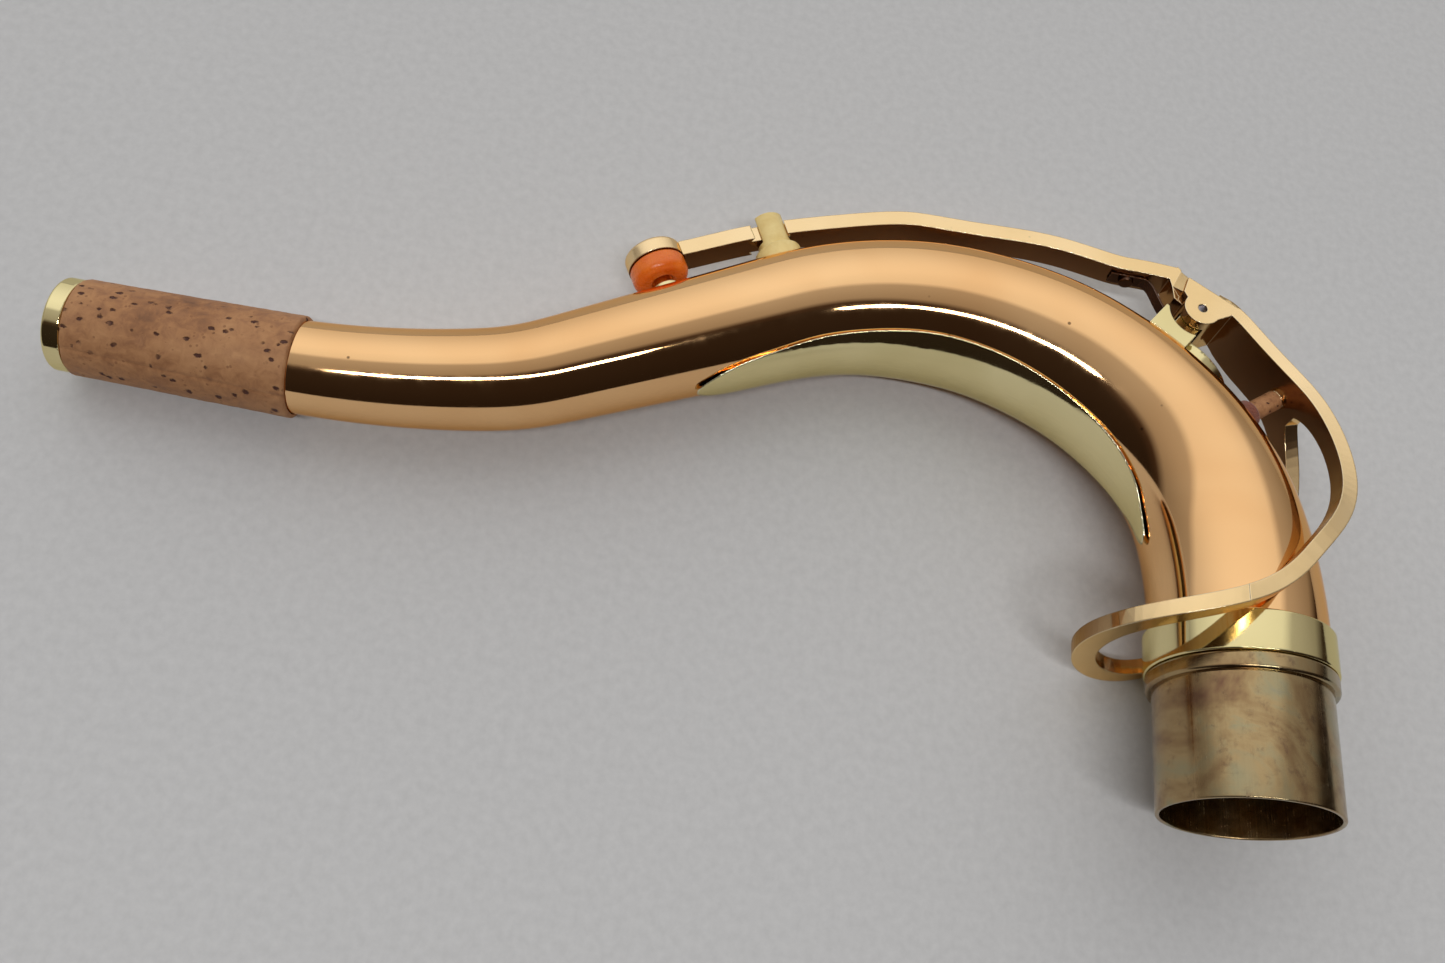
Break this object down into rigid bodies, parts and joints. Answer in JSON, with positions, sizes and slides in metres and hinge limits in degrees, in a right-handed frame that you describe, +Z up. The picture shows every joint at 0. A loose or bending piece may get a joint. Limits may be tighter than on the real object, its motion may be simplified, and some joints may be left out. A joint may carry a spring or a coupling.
{
  "type": "saxophone neck",
  "caption": "Curved brass neck tube with a tenon, a corked mouthpiece end and a sprung octave key that lifts a pad off a small vent.",
  "frame": {"origin": "bottom centre of the box round the neck, lying on its side on a table", "axes": "+X from the mouthpiece end towards the tenon end, +Y towards the outside of the bow, +Z up off the table"},
  "size_m": [0.2172, 0.1056, 0.0387],
  "materials": {
    "lacquered_tube": "mirror-polished warm lacquer",
    "raw_brass": "bare machined brass",
    "yellow_brass": "polished lacquered brass",
    "cork": "natural cork",
    "cream_plastic": "moulded, matte",
    "steel": "turned steel",
    "key_brass": "satin lacquer",
    "pad_rubber": "smooth, slightly glossy",
    "felt": "pressed felt"
  },
  "bodies": {
    "neck": {"neck_tube": "lacquered_tube", "tenon": "raw_brass", "shoulder_bead": "raw_brass", "collar_ring": "yellow_brass", "tip_ring": "yellow_brass", "neck_cork": "cork", "underside_brace": "yellow_brass", "vent_pip": "yellow_brass", "guide_foot": "cream_plastic", "guide_post": "cream_plastic", "hinge_saddle": "yellow_brass", "saddle_foot": "yellow_brass", "pivot_screw": "steel"},
    "key": {"octave_key": "key_brass", "pad_cup": "key_brass", "octave_pad": "pad_rubber", "flat_spring": "steel", "spring_screw": "steel", "bumper_boss": "key_brass", "bumper_cork": "cork", "bumper_felt": "felt"}
  },
  "joints": [
    {"name": "octave_key_hinge", "type": "hinge", "parent": "neck", "child": "key", "pos_m": [0.08614, 0.03969, 0.01438], "axis": [0.0499, -0.0814, -0.9954], "range_deg": [0, 2.5], "stiffness_Nm_per_rad": 0.23, "springref_deg": -9.97}
  ]
}
